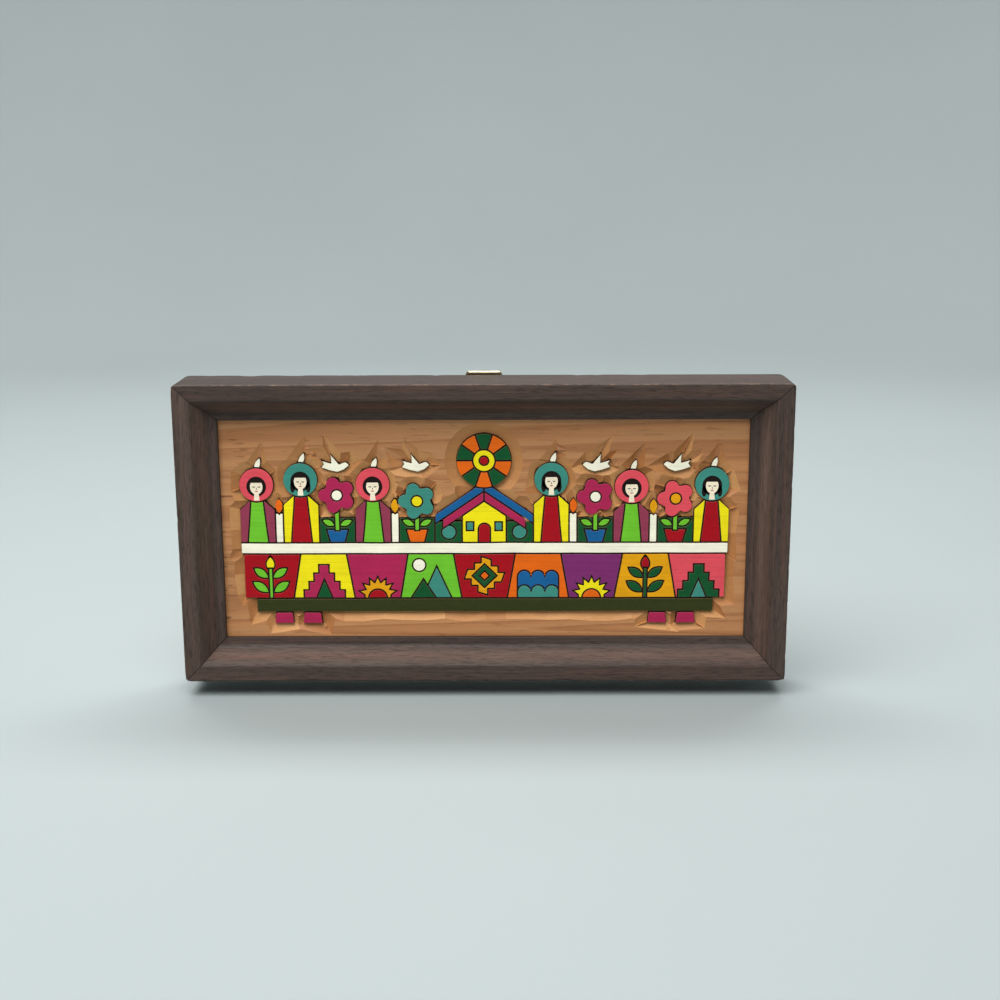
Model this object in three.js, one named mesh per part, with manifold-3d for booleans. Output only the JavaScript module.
// A framed wall plaque of carved and painted wood. Millimetres, +Z up, front towards -Y.
// The origin is the hanging point: the middle notch of the hanger, in the plane of the frame's back.
import * as THREE from "three";
import { mergeVertices } from "three/addons/utils/BufferGeometryUtils.js";
import { ConvexGeometry } from "three/addons/geometries/ConvexGeometry.js";
import Module from "manifold-3d";

const wasm = await Module();
wasm.setup();

// The frame, a scooped moulding with its flat band outside
const FRAME_WIDTH = 355.6;
const FRAME_HEIGHT = 177.8;
const FRAME_DEPTH = 38;
const RAIL_FACE = 23;
const EDGE_ROUND = 1.2;
const FLAT_BAND = 8.5;
const FLAT_FALL = 0.5;
const SCOOP_END = 20;
const SCOOP_DEPTH = 13.2;
const SCOOP_STEPS = 10;
const LIP_START = 13.8;
const LIP_ROUND = 0.5;
const REBATE_WIDTH = 7;
const REBATE_DEPTH = 16.7;
const SEAM = 0.3;

// The board
const PANEL_RECESS = 17;
const PANEL_THICK = 12;
const PANEL_PLAY = 0.5;

// The cutting of the relief
const GROOVE_WIDTH = 1;
const GROOVE_DEPTH = 1;
const MITRE_LIMIT = 2.2;
const MOAT_DEPTH = 2.4;
const MOAT_WIDTH = 4.8;
const SUN_MOAT_WIDTH = 6.6;
const MOAT_FLOOR = 1.3;
const GOUGE_LENGTH = 12;
const GOUGE_SHORTEST = 5;
const GOUGE_CORNER = 0.6;
const GOUGE_BEND = 0.8;
const SMALL_GAP = 6;
const CUT_CLEAR = 1;
const MERGE_WITHIN = 0.001;

// Heights in the painted group, measured from the middle of the opening
const BAR_TOP = -8.2;
const BAR_BOTTOM = -15;
const FRIEZE_BOTTOM = -42.4;
const BAND_BOTTOM = -51;
const FOOT_BOTTOM = -58.3;
const BAR_HALF = 144.5;
const FRIEZE_HALF = 143.2;
const BAND_HALF = 136.5;
const FRIEZE_MIDDLE = (BAR_BOTTOM + FRIEZE_BOTTOM) / 2;
const FEET = [-120, -103, 103, 120];

// The upper row: a house in the middle, and on each side people, flowers and candles
const HOUSE_HALF = 29;
const COLUMN = 21.2;
const CANDLE = 4.75;
const CANDLE_HEIGHT = 9.4;
const HAT_RADIUS = 10.4;
const HAT_SIDES = 16;
const HAT_HEIGHT = 30;
const BLOSSOM_RADIUS = 7;
const BLOSSOM_HEIGHT = 17;
const PETALS = 5;
const BIRD_HEIGHT = 37;
const SUN_HEIGHT = 41.2;
const SUN_RADIUS = 16.4;
const SUN_CORE = 6.6;
const SUN_EYE = 2.8;
const SUN_SECTORS = 10;
const LEFT_ROW = ["flower", "candle", "person", "flower", "person", "candle", "person"];
const RIGHT_ROW = ["person", "candle", "flower", "person", "candle", "flower", "person"];

// The frieze, from left to right
const FRIEZE = ["sprig", "steps", "halfSun", "hills", "diamond", "waves", "halfSun", "sprig", "steps"];
const FIELD_SLANT = 2.4;

// The hanger and its nails
const HANGER_TOP = 5.4;
const HANGER_THICK = 0.8;
const HANGER_STAND_OFF = 1.8;
const HANGER_MIDDLE = 21.4;
const HANGER_SLOPE = 2.2;
const HANGER_LENGTH = 42;
const HANGER_SHOULDER = 1.2;
const HANGER_ROUND = 2;
const EAR_TOP = 1.6;
const EAR_BOTTOM = -4.4;
const TOOTH_DEPTH = 1.3;
const TOOTH_PITCH = 1.9;
const TEETH = 8;
const RAIL_TOP = 3.3;
const CONTACT_GAP = 0.3;
const NAIL_PLACE = 16.2;
const NAIL_HEIGHT = -1.4;
const NAIL_RADIUS = 0.6;
const NAIL_LENGTH = 10;
const NAIL_POINT = 1.5;
const NAIL_HEAD_RADIUS = 1.7;
const NAIL_HEAD_THICK = 0.5;
const NAIL_SIDES = 10;

const CENTRE_HEIGHT = RAIL_TOP - FRAME_HEIGHT / 2;

const point = (u, v) => new THREE.Vector2(u, v);

function solid(geometry) {
  geometry.deleteAttribute("normal");
  geometry.deleteAttribute("uv");
  const merged = mergeVertices(geometry, MERGE_WITHIN);
  const vertProperties = Float32Array.from(merged.attributes.position.array);
  const triVerts = Uint32Array.from(merged.index.array);
  return new wasm.Manifold(new wasm.Mesh({ numProp: 3, vertProperties, triVerts }));
}

function prism(outline, low, high) {
  const shape = new THREE.Shape(outline);
  const geometry = new THREE.ExtrudeGeometry(shape, { depth: high - low, bevelEnabled: false });
  geometry.translate(0, 0, low);
  return solid(geometry);
}

const joined = (solids) => solids.reduce((sum, next) => sum.add(next));

function geometryOf(made) {
  const { vertProperties, triVerts } = made.getMesh();
  const geometry = new THREE.BufferGeometry();
  geometry.setAttribute("position", new THREE.BufferAttribute(vertProperties, 3));
  geometry.setIndex(new THREE.BufferAttribute(triVerts, 1));
  geometry.computeVertexNormals();
  return geometry;
}

// The main body, without the specks that crossing cuts can leave
function largestBody(made) {
  const bodies = solid(geometryOf(made)).decompose();
  return bodies.reduce((best, next) => (next.volume() > best.volume() ? next : best));
}

// Outlines

function counterClockwise(outline) {
  return THREE.ShapeUtils.isClockWise(outline) ? [...outline].reverse() : outline;
}

const box = (u0, v0, u1, v1) => [point(u0, v0), point(u1, v0), point(u1, v1), point(u0, v1)];

function arc(u, v, radius, from, to, steps) {
  const points = [];
  for (let i = 0; i <= steps; i++) {
    const angle = THREE.MathUtils.degToRad(from + ((to - from) * i) / steps);
    points.push(point(u + radius * Math.cos(angle), v + radius * Math.sin(angle)));
  }
  return points;
}

const disc = (u, v, radius, sides) => arc(u, v, radius, 0, 360, sides).slice(0, -1);

// A triangle that stands on the foot of the frieze
const triangle = (u, half, height) => [
  point(u - half, FRIEZE_BOTTOM),
  point(u + half, FRIEZE_BOTTOM),
  point(u, FRIEZE_BOTTOM + height),
];

// A leaf or flame: two arcs that meet in points, its length turned by an angle in degrees
function leaf(u, v, length, width, angle, steps = 3) {
  const points = [];
  for (const side of [-1, 1]) {
    for (let i = 0; i < steps; i++) {
      const along = (side * i * 2) / steps - side;
      points.push(point((-along * length) / 2, (side * -width * (1 - along * along)) / 2));
    }
  }
  const turn = THREE.MathUtils.degToRad(angle);
  return points.map((p) => p.rotateAround(point(0, 0), turn).add(point(u, v)));
}

// A round of equal petals
function blossom(u, v, radius, petals, steps = 4) {
  const points = [];
  const bulge = (radius * Math.PI) / petals;
  for (let i = 0; i < petals; i++) {
    const middle = ((i + 0.5) * 360) / petals;
    const angle = THREE.MathUtils.degToRad(middle);
    const petal = arc(
      u + radius * Math.cos(angle),
      v + radius * Math.sin(angle),
      bulge,
      middle - 90,
      middle + 90,
      steps,
    );
    points.push(...petal.slice(0, -1));
  }
  return points;
}

// The offset of an outline, outwards where the distance is positive
function offset(outline, distance) {
  const count = outline.length;
  return outline.map((p, i) => {
    const before = p.clone().sub(outline[(i + count - 1) % count]).normalize();
    const after = outline[(i + 1) % count].clone().sub(p).normalize();
    const first = point(before.y, -before.x);
    const second = point(after.y, -after.x);
    const sum = first.clone().add(second);
    const reach = Math.min(2 / Math.max(sum.lengthSq(), 1e-6), MITRE_LIMIT / Math.max(sum.length(), 1e-3));
    return p.clone().addScaledVector(sum, distance * reach);
  });
}

// The painted shapes, those in front first

// A person behind the bar: round hat, plume, robe and the two sleeves
function person(u, height) {
  const neck = height - HAT_RADIUS + 1.4;
  const neckHalf = 3.6;
  const robeHalf = 6.2;
  const collar = 4;
  const shoulder = neck - 6;
  const plume = { lean: 1, rise: 1.6, length: 10, width: 4, angle: 70 };
  const robe = [
    point(u - robeHalf, BAR_TOP),
    point(u + robeHalf, BAR_TOP),
    point(u + neckHalf, neck),
    point(u - neckHalf, neck),
  ];
  const sleeve = (side) => [
    point(u, BAR_TOP),
    point(u + (side * COLUMN) / 2, BAR_TOP),
    point(u + (side * COLUMN) / 2, shoulder),
    point(u + side * collar, neck),
    point(u, neck),
  ];
  return [
    disc(u, height, HAT_RADIUS, HAT_SIDES),
    leaf(u + plume.lean, height + HAT_RADIUS + plume.rise, plume.length, plume.width, plume.angle),
    robe,
    sleeve(-1),
    sleeve(1),
  ];
}

// A flower in its pot: the blossom's eye and petals, stem, two leaves, pot and the field behind
function flower(u, height) {
  const eyeRadius = 3.4;
  const stemHalf = 1.5;
  const potTop = 0;
  const potFootHalf = 4.4;
  const potRimHalf = 6.6;
  const fieldTop = 7.2;
  const leafOut = 5.2;
  const leafHeight = 3.9;
  const leafLength = 8.6;
  const leafWidth = 4.2;
  const leafRise = 25;
  const pot = [
    point(u - potFootHalf, BAR_TOP),
    point(u + potFootHalf, BAR_TOP),
    point(u + potRimHalf, potTop),
    point(u - potRimHalf, potTop),
  ];
  return [
    disc(u, height, eyeRadius, 8),
    blossom(u, height, BLOSSOM_RADIUS, PETALS),
    box(u - stemHalf, potTop - 1, u + stemHalf, height - BLOSSOM_RADIUS),
    leaf(u - leafOut, leafHeight, leafLength, leafWidth, 180 - leafRise),
    leaf(u + leafOut, leafHeight, leafLength, leafWidth, leafRise),
    pot,
    box(u - COLUMN / 2, BAR_TOP, u, fieldTop),
    box(u, BAR_TOP, u + COLUMN / 2, fieldTop),
  ];
}

function candle(u, height) {
  const flame = { rise: 4.2, length: 10, width: 5.4 };
  return [
    leaf(u, height + flame.rise, flame.length, flame.width, 90),
    box(u - CANDLE / 2, BAR_TOP, u + CANDLE / 2, height),
  ];
}

// A dove in flight, its beak towards the given side
function bird(u, v, side) {
  const head = [point(8.4, 1.8), point(6, 4), point(4.2, 3.6), point(2, 2.6)];
  const wing = [point(-3.4, 9.2), point(-3, 3.2)];
  const tail = [point(-9.2, 5), point(-7.4, 2.4), point(-9.2, 0.2)];
  const breast = [point(-3.6, -1.8), point(0.8, -2.8), point(5, -1.2)];
  return [...head, ...wing, ...tail, ...breast].map((p) => point(u + side * p.x, v + p.y));
}

function sun() {
  const step = 360 / SUN_SECTORS;
  const shapes = [disc(0, SUN_HEIGHT, SUN_EYE, 6), disc(0, SUN_HEIGHT, SUN_CORE, SUN_SECTORS)];
  for (let i = 0; i < SUN_SECTORS; i++) {
    const outer = arc(0, SUN_HEIGHT, SUN_RADIUS, i * step, (i + 1) * step, 2);
    const inner = arc(0, SUN_HEIGHT, SUN_CORE, (i + 1) * step, i * step, 1);
    shapes.push([...outer, ...inner]);
  }
  return shapes;
}

// A house: arched door, two windows, roof of two courses, front wall, and a bush on each side
function house() {
  const ridge = 29;
  const roofFall = 20;
  const slope = roofFall / HOUSE_HALF;
  const courses = 2;
  const course = 6;
  const courseStep = 4.5;
  const wallHalf = 13;
  const gable = ridge - courses * course;
  const doorHalf = 3.6;
  const windowIn = 6.2;
  const windowOut = 10.6;
  const sill = -1;
  const lintel = 4.4;
  const bush = { out: 20.8, height: -1.9, radius: 4.4 };
  const yardTop = 5;
  const roofLine = (top, u) => point(u, top - slope * Math.abs(u));
  const shapes = [
    [point(-doorHalf, BAR_TOP), point(doorHalf, BAR_TOP), ...arc(0, 0, doorHalf, 0, 180, 5)],
    box(-windowOut, sill, -windowIn, lintel),
    box(windowIn, sill, windowOut, lintel),
  ];
  for (const side of [-1, 1]) {
    for (let i = 0; i < courses; i++) {
      const top = ridge - i * course;
      const eave = side * (HOUSE_HALF - i * courseStep);
      const low = top - course;
      shapes.push([roofLine(low, 0), roofLine(low, eave), roofLine(top, eave), roofLine(top, 0)]);
    }
  }
  shapes.push([
    point(-wallHalf, BAR_TOP),
    point(wallHalf, BAR_TOP),
    roofLine(gable, wallHalf),
    roofLine(gable, 0),
    roofLine(gable, -wallHalf),
  ]);
  for (const side of [-1, 1]) {
    shapes.push(disc(side * bush.out, bush.height, bush.radius, 8));
    shapes.push(box(side * wallHalf, BAR_TOP, side * HOUSE_HALF, yardTop));
  }
  return shapes;
}

// One side of the upper row, from the house outwards, its heights going up and down a little
function row(kinds, side) {
  const shapes = [];
  let edge = HOUSE_HALF;
  kinds.forEach((kind, i) => {
    const width = kind === "candle" ? CANDLE : COLUMN;
    const u = side * (edge + width / 2);
    const step = i % 4;
    if (kind === "person") shapes.push(...person(u, HAT_HEIGHT - 1.5 * step));
    if (kind === "flower") {
      shapes.push(...flower(u, BLOSSOM_HEIGHT + 1.2 * step), bird(u, BIRD_HEIGHT, -side));
    }
    if (kind === "candle") shapes.push(...candle(u, CANDLE_HEIGHT + 0.6 * step));
    edge += width;
  });
  return shapes;
}

const motifs = {
  sprig(u) {
    const stemHalf = 1.2;
    const stemTop = FRIEZE_MIDDLE + 5;
    const leafRise = 35;
    const shapes = [
      box(u - stemHalf, FRIEZE_BOTTOM, u + stemHalf, stemTop),
      leaf(u, stemTop + 2.4, 10, 5.4, 90),
    ];
    for (const side of [-1, 1]) {
      const angle = 90 - side * (90 - leafRise);
      shapes.push(leaf(u + side * 5.6, FRIEZE_MIDDLE + 2, 11, 5.2, angle));
      shapes.push(leaf(u + side * 6.2, FRIEZE_MIDDLE - 6.6, 12, 5.6, angle));
    }
    return shapes;
  },
  steps(u) {
    const flights = 4;
    const rise = 5.2;
    const tread = 3.1;
    const peak = { half: 5, height: 12 };
    const right = [];
    for (let i = 0; i < flights; i++) {
      const x = tread * (flights - i);
      right.push(point(x, i * rise), point(x, (i + 1) * rise));
    }
    const left = right.map((p) => point(-p.x, p.y)).reverse();
    return [
      triangle(u, peak.half, peak.height),
      [...right, ...left].map((p) => point(u + p.x, FRIEZE_BOTTOM + p.y)),
    ];
  },
  halfSun(u) {
    const rays = 7;
    const rayTip = 13;
    const rayRoot = 8.4;
    const rise = 2;
    const discRadius = 5.6;
    const points = [];
    for (let i = 0; i <= rays * 2; i++) {
      const angle = (Math.PI * i) / (rays * 2);
      const reach = i % 2 ? rayTip : rayRoot;
      points.push(point(u + reach * Math.cos(angle), FRIEZE_BOTTOM + rise + reach * Math.sin(angle)));
    }
    points.push(point(u - rayRoot, FRIEZE_BOTTOM), point(u + rayRoot, FRIEZE_BOTTOM));
    return [arc(u, FRIEZE_BOTTOM, discRadius, 0, 180, 7), points];
  },
  hills(u) {
    const moon = { out: 7, drop: 7, radius: 4 };
    return [
      triangle(u - 4.6, 7.6, 12),
      triangle(u + 3.4, 9, 20),
      disc(u - moon.out, BAR_BOTTOM - moon.drop, moon.radius, 8),
    ];
  },
  diamond(u) {
    const half = 12;
    const flights = 3;
    const size = half / flights;
    const points = [];
    for (let quarter = 0; quarter < 4; quarter++) {
      for (let i = 0; i < flights; i++) {
        const out = half - i * size;
        const up = (i + 0.5) * size;
        const stair = i < flights - 1 ? [point(out, up), point(out - size, up)] : [point(out, up)];
        for (const p of stair) {
          points.push(p.rotateAround(point(0, 0), (quarter * Math.PI) / 2).add(point(u, FRIEZE_MIDDLE)));
        }
      }
    }
    return [disc(u, FRIEZE_MIDDLE, 3, 4), disc(u, FRIEZE_MIDDLE, 7.4, 4), points];
  },
  waves(u) {
    const radius = 4.1;
    const half = 3 * radius;
    const crest = (height) => {
      const level = FRIEZE_BOTTOM + height;
      const points = [point(u - half, FRIEZE_BOTTOM), point(u + half, FRIEZE_BOTTOM)];
      for (const place of [2, 0, -2]) {
        points.push(...arc(u + place * radius, level, radius, 0, 180, 4).slice(0, -1));
      }
      points.push(point(u - half, level));
      return points;
    };
    return [crest(4), crest(13)];
  },
};

function frieze() {
  const width = (2 * FRIEZE_HALF) / FRIEZE.length;
  const boundary = (i, v) => {
    const ends = i === 0 || i === FRIEZE.length;
    const slant = ends ? 0 : (i % 2 ? 1 : -1) * FIELD_SLANT;
    return point(-FRIEZE_HALF + i * width + (v === BAR_BOTTOM ? slant : -slant), v);
  };
  const shapes = [];
  FRIEZE.forEach((kind, i) => {
    shapes.push(...motifs[kind](-FRIEZE_HALF + (i + 0.5) * width));
  });
  FRIEZE.forEach((kind, i) => {
    shapes.push([
      boundary(i, FRIEZE_BOTTOM),
      boundary(i + 1, FRIEZE_BOTTOM),
      boundary(i + 1, BAR_BOTTOM),
      boundary(i, BAR_BOTTOM),
    ]);
  });
  return shapes;
}

function feet() {
  const soleHalf = 6.2;
  const ankleHalf = 5.2;
  return FEET.map((u) => [
    point(u - soleHalf, FOOT_BOTTOM),
    point(u + soleHalf, FOOT_BOTTOM),
    point(u + ankleHalf, BAND_BOTTOM),
    point(u - ankleHalf, BAND_BOTTOM),
  ]);
}

function paintedShapes() {
  const shapes = [
    box(-BAR_HALF, BAR_BOTTOM, BAR_HALF, BAR_TOP),
    ...sun(),
    ...house(),
    ...row(LEFT_ROW, -1),
    ...row(RIGHT_ROW, 1),
    ...frieze(),
    box(-BAND_HALF, BAND_BOTTOM, BAND_HALF, FRIEZE_BOTTOM),
    ...feet(),
  ];
  return shapes.map(counterClockwise);
}

// The edge of the painted group, as closed loops with the group on their left
function silhouette(group, top) {
  const { vertProperties, triVerts } = group.getMesh();
  const corner = (k) => vertProperties.slice(triVerts[k] * 3, triVerts[k] * 3 + 3);
  const key = (p) => `${p[0].toFixed(2)},${p[1].toFixed(2)}`;
  const from = new Map();
  for (let i = 0; i < triVerts.length; i += 3) {
    const corners = [corner(i), corner(i + 1), corner(i + 2)];
    const high = corners.map((p) => p[2] > top - 0.01);
    if (high.filter(Boolean).length !== 2) continue;
    const k = high.findIndex((up, n) => up && high[(n + 1) % 3]);
    const start = corners[(k + 1) % 3];
    const end = corners[k];
    from.set(key(start), [...(from.get(key(start)) || []), { start, end }]);
  }
  const loops = [];
  for (const edges of from.values()) {
    while (edges.length) {
      const loop = [];
      let edge = edges.pop();
      while (edge) {
        loop.push(point(edge.start[0], edge.start[1]));
        edge = (from.get(key(edge.end)) || []).pop();
      }
      loops.push(loop);
    }
  }
  return loops.filter((loop) => Math.abs(THREE.ShapeUtils.area(loop)) > SMALL_GAP);
}

// An even spread between 0 and 1 that repeats for the same number
function vary(n) {
  const wave = Math.sin(n * 12.9898) * 43758.5453;
  return wave - Math.floor(wave);
}

function turnAt(points, i) {
  const count = points.length;
  const before = points[i].clone().sub(points[(i + count - 1) % count]);
  const after = points[(i + 1) % count].clone().sub(points[i]);
  return Math.atan2(before.cross(after), before.dot(after));
}

// The corners that the gouge follows round a loop: long straights are split, small steps passed over
function gougePath(loop) {
  const turns = loop.map((p, i) => turnAt(loop, i));
  const first = turns.indexOf(Math.max(...turns));
  const order = [...loop.slice(first), ...loop.slice(0, first)];
  const path = [];
  let bend = 0;
  order.forEach((p, i) => {
    const turn = turns[(first + i) % loop.length];
    bend += turn;
    const last = path[path.length - 1];
    const far = last ? p.distanceTo(last) : Infinity;
    const corner = Math.abs(turn) > GOUGE_CORNER && far > GOUGE_SHORTEST;
    if (corner || Math.abs(bend) > GOUGE_BEND || far > GOUGE_LENGTH) {
      path.push(p);
      bend = 0;
    }
    const end = order[(i + 1) % order.length];
    const pieces = Math.max(1, Math.round(p.distanceTo(end) / GOUGE_LENGTH));
    for (let k = 1; k < pieces; k++) path.push(p.clone().lerp(end, k / pieces));
  });
  return path;
}

// The moat round one loop: a row of gouge cuts, deepest along the group and sloping up and out
function moatCuts(loop) {
  const path = gougePath(loop);
  const count = path.length;
  const nearSun = (p) => Math.abs(p.distanceTo(point(0, SUN_HEIGHT)) - SUN_RADIUS) < 1;
  const mitres = offset(path, 1).map((p, i) => p.sub(path[i]));
  const ends = path.map((p, i) => {
    const width = (nearSun(p) ? SUN_MOAT_WIDTH : MOAT_WIDTH) * (0.85 + 0.3 * vary(i + p.x));
    const depth = MOAT_DEPTH * (0.88 + 0.24 * vary(i + p.y));
    const outer = p.clone().addScaledVector(mitres[i], width);
    const inner = p.clone().addScaledVector(mitres[i], -MOAT_FLOOR);
    return [
      new THREE.Vector3(inner.x, inner.y, CUT_CLEAR),
      new THREE.Vector3(inner.x, inner.y, -depth),
      new THREE.Vector3(outer.x, outer.y, 0),
      new THREE.Vector3(outer.x, outer.y, CUT_CLEAR),
    ];
  });
  return ends.map((end, i) => solid(new ConvexGeometry([...end, ...ends[(i + 1) % count]])));
}

// The board, with the painted group left standing in a moat and split by incised outlines
function carvedPanel() {
  const reach = RAIL_FACE - REBATE_WIDTH + PANEL_PLAY;
  const halfWidth = FRAME_WIDTH / 2 - reach;
  const halfHeight = FRAME_HEIGHT / 2 - reach;
  const board = (low, high) => prism(box(-halfWidth, -halfHeight, halfWidth, halfHeight), low, high);
  const shapes = paintedShapes();
  const deep = -MOAT_DEPTH * 2;
  const outlines = shapes.map((outline) => prism(offset(outline, GROOVE_WIDTH / 2), deep, CUT_CLEAR * 2));
  const group = joined(outlines).intersect(board(-GROOVE_DEPTH, CUT_CLEAR));
  const moat = joined(silhouette(group, CUT_CLEAR).flatMap(moatCuts));
  const ground = board(-PANEL_THICK, 0).subtract(group.add(moat));
  let inFront = null;
  let pads = null;
  for (const outline of shapes) {
    const pad = prism(offset(outline, -GROOVE_WIDTH / 2), deep, 0);
    const shown = inFront ? pad.subtract(inFront) : pad;
    const around = prism(offset(outline, GROOVE_WIDTH / 2), deep - CUT_CLEAR, CUT_CLEAR);
    inFront = inFront ? inFront.add(around) : around;
    pads = pads ? pads.add(shown) : shown;
  }
  return geometryOf(largestBody(ground.add(pads)));
}

// A rail's section: x runs in from the outer edge, y back from the front

function railSection() {
  const round = (x, y, from, to) => arc(x, y, EDGE_ROUND, from, to, 3);
  const points = [...round(EDGE_ROUND, EDGE_ROUND, 180, 270)];
  for (let i = 0; i <= SCOOP_STEPS; i++) {
    const part = i / SCOOP_STEPS;
    const fall = (SCOOP_DEPTH - FLAT_FALL) * (1 - Math.cos(Math.PI * part)) / 2;
    points.push(point(FLAT_BAND + (SCOOP_END - FLAT_BAND) * part, FLAT_FALL + fall));
  }
  points.push(
    point(RAIL_FACE - LIP_ROUND, LIP_START),
    point(RAIL_FACE, LIP_START + LIP_ROUND),
    point(RAIL_FACE, REBATE_DEPTH),
    point(RAIL_FACE - REBATE_WIDTH, REBATE_DEPTH),
    point(RAIL_FACE - REBATE_WIDTH, FRAME_DEPTH),
    ...round(EDGE_ROUND, FRAME_DEPTH - EDGE_ROUND, 90, 180),
  );
  return points;
}

// A rail stands along z from its outer corner, both ends cut at 45 degrees
function railGeometry(length) {
  const shape = new THREE.Shape(railSection());
  const geometry = new THREE.ExtrudeGeometry(shape, { depth: length, bevelEnabled: false });
  const position = geometry.attributes.position;
  for (let i = 0; i < position.count; i++) {
    const cutBack = position.getX(i) + SEAM * Math.SQRT1_2;
    const z = position.getZ(i);
    position.setZ(i, z < length / 2 ? cutBack : length - cutBack);
  }
  return geometry;
}

// The nail holes, as round bars along y from the front of the reach given to its back
function nailHoles(front, back) {
  const bars = [-1, 1].map((side) => {
    const hole = disc(side * NAIL_PLACE, NAIL_HEIGHT, NAIL_RADIUS + CONTACT_GAP, NAIL_SIDES);
    return prism(hole, -back, -front).rotate(90, 0, 0);
  });
  return joined(bars);
}

// The hanger: a strip whose middle stands off the wood, cut to its outline with teeth below
function hangerGeometry() {
  const ear = HANGER_LENGTH / 2;
  const middle = HANGER_MIDDLE / 2;
  const bend = [
    point(-ear, CONTACT_GAP),
    point(-middle, CONTACT_GAP),
    point(-middle + HANGER_SLOPE, CONTACT_GAP + HANGER_STAND_OFF),
    point(middle - HANGER_SLOPE, CONTACT_GAP + HANGER_STAND_OFF),
    point(middle, CONTACT_GAP),
    point(ear, CONTACT_GAP),
  ];
  const back = bend.map((p) => point(p.x, p.y + HANGER_THICK)).reverse();
  const strip = prism([...bend, ...back], -ear, ear);
  const earRound = (EAR_TOP - EAR_BOTTOM) / 2;
  const earMiddle = (EAR_TOP + EAR_BOTTOM) / 2;
  const shoulder = middle + HANGER_SHOULDER;
  const round = middle - HANGER_ROUND;
  const outline = [
    ...arc(ear - earRound, earMiddle, earRound, -90, 90, 6),
    point(shoulder, EAR_TOP),
    ...arc(round, HANGER_TOP - HANGER_ROUND, HANGER_ROUND, 0, 90, 3),
    ...arc(-round, HANGER_TOP - HANGER_ROUND, HANGER_ROUND, 90, 180, 3),
    point(-shoulder, EAR_TOP),
    ...arc(-ear + earRound, earMiddle, earRound, 90, 270, 6),
  ];
  const lastTooth = (TEETH * TOOTH_PITCH) / 2;
  outline.push(point(-lastTooth - TOOTH_PITCH, EAR_BOTTOM));
  for (let i = 0; i < TEETH; i++) {
    const u = -lastTooth + i * TOOTH_PITCH;
    outline.push(point(u, 0), point(u + TOOTH_PITCH / 2, -TOOTH_DEPTH));
  }
  outline.push(point(lastTooth, 0), point(lastTooth + TOOTH_PITCH, EAR_BOTTOM));
  const upright = prism(outline, -ear, ear).rotate(90, 0, 0);
  return geometryOf(strip.intersect(upright).subtract(nailHoles(-ear, ear)));
}

// A round-headed nail along y, its head against the hanger's ear
function nailGeometry() {
  const head = CONTACT_GAP * 2 + HANGER_THICK;
  const tip = head - NAIL_LENGTH;
  return new THREE.LatheGeometry(
    [
      point(0, tip),
      point(NAIL_RADIUS, tip + NAIL_POINT),
      point(NAIL_RADIUS, head),
      point(NAIL_HEAD_RADIUS, head),
      point(NAIL_HEAD_RADIUS * 0.8, head + NAIL_HEAD_THICK),
      point(0, head + NAIL_HEAD_THICK),
    ],
    NAIL_SIDES,
  );
}

function material(color, roughness, metalness) {
  return new THREE.MeshStandardMaterial({ color, roughness, metalness });
}

const stainedWood = () => material(0x41342f, 0.5, 0);
const pine = () => material(0xb07d50, 0.6, 0);
const brass = () => material(0xc9b887, 0.3, 0.9);

function piece(name, geometry, look) {
  const mesh = new THREE.Mesh(geometry, look);
  mesh.name = name;
  return mesh;
}

const plaque = new THREE.Group();

const frame = new THREE.Group();
frame.position.set(0, -FRAME_DEPTH, CENTRE_HEIGHT);
plaque.add(frame);

// Each rail starts at its outer front corner and follows the frame round
const rails = [
  ["frame_left_rail", -1, -1, FRAME_HEIGHT],
  ["frame_top_rail", -1, 1, FRAME_WIDTH],
  ["frame_right_rail", 1, 1, FRAME_HEIGHT],
  ["frame_bottom_rail", 1, -1, FRAME_WIDTH],
];
rails.forEach(([name, sideX, sideZ, length], quarter) => {
  const rail = piece(name, railGeometry(length), stainedWood());
  rail.position.set((sideX * FRAME_WIDTH) / 2, 0, (sideZ * FRAME_HEIGHT) / 2);
  rail.rotation.y = (quarter * Math.PI) / 2;
  frame.add(rail);
  if (name !== "frame_top_rail") return;
  frame.updateMatrixWorld(true);
  const toRail = rail.matrixWorld.clone().invert();
  const holes = geometryOf(nailHoles(-NAIL_LENGTH, 1)).applyMatrix4(toRail);
  rail.geometry = geometryOf(solid(rail.geometry).subtract(solid(holes)));
});

const panel = piece("carved_panel", carvedPanel(), pine());
panel.position.set(0, -FRAME_DEPTH + PANEL_RECESS, CENTRE_HEIGHT);
panel.rotation.x = Math.PI / 2;
plaque.add(panel);

plaque.add(piece("sawtooth_hanger", hangerGeometry(), brass()));

for (const [name, side] of [["hanger_nail_left", -1], ["hanger_nail_right", 1]]) {
  const nail = piece(name, nailGeometry(), brass());
  nail.position.set(side * NAIL_PLACE, 0, NAIL_HEIGHT);
  plaque.add(nail);
}

export default plaque;
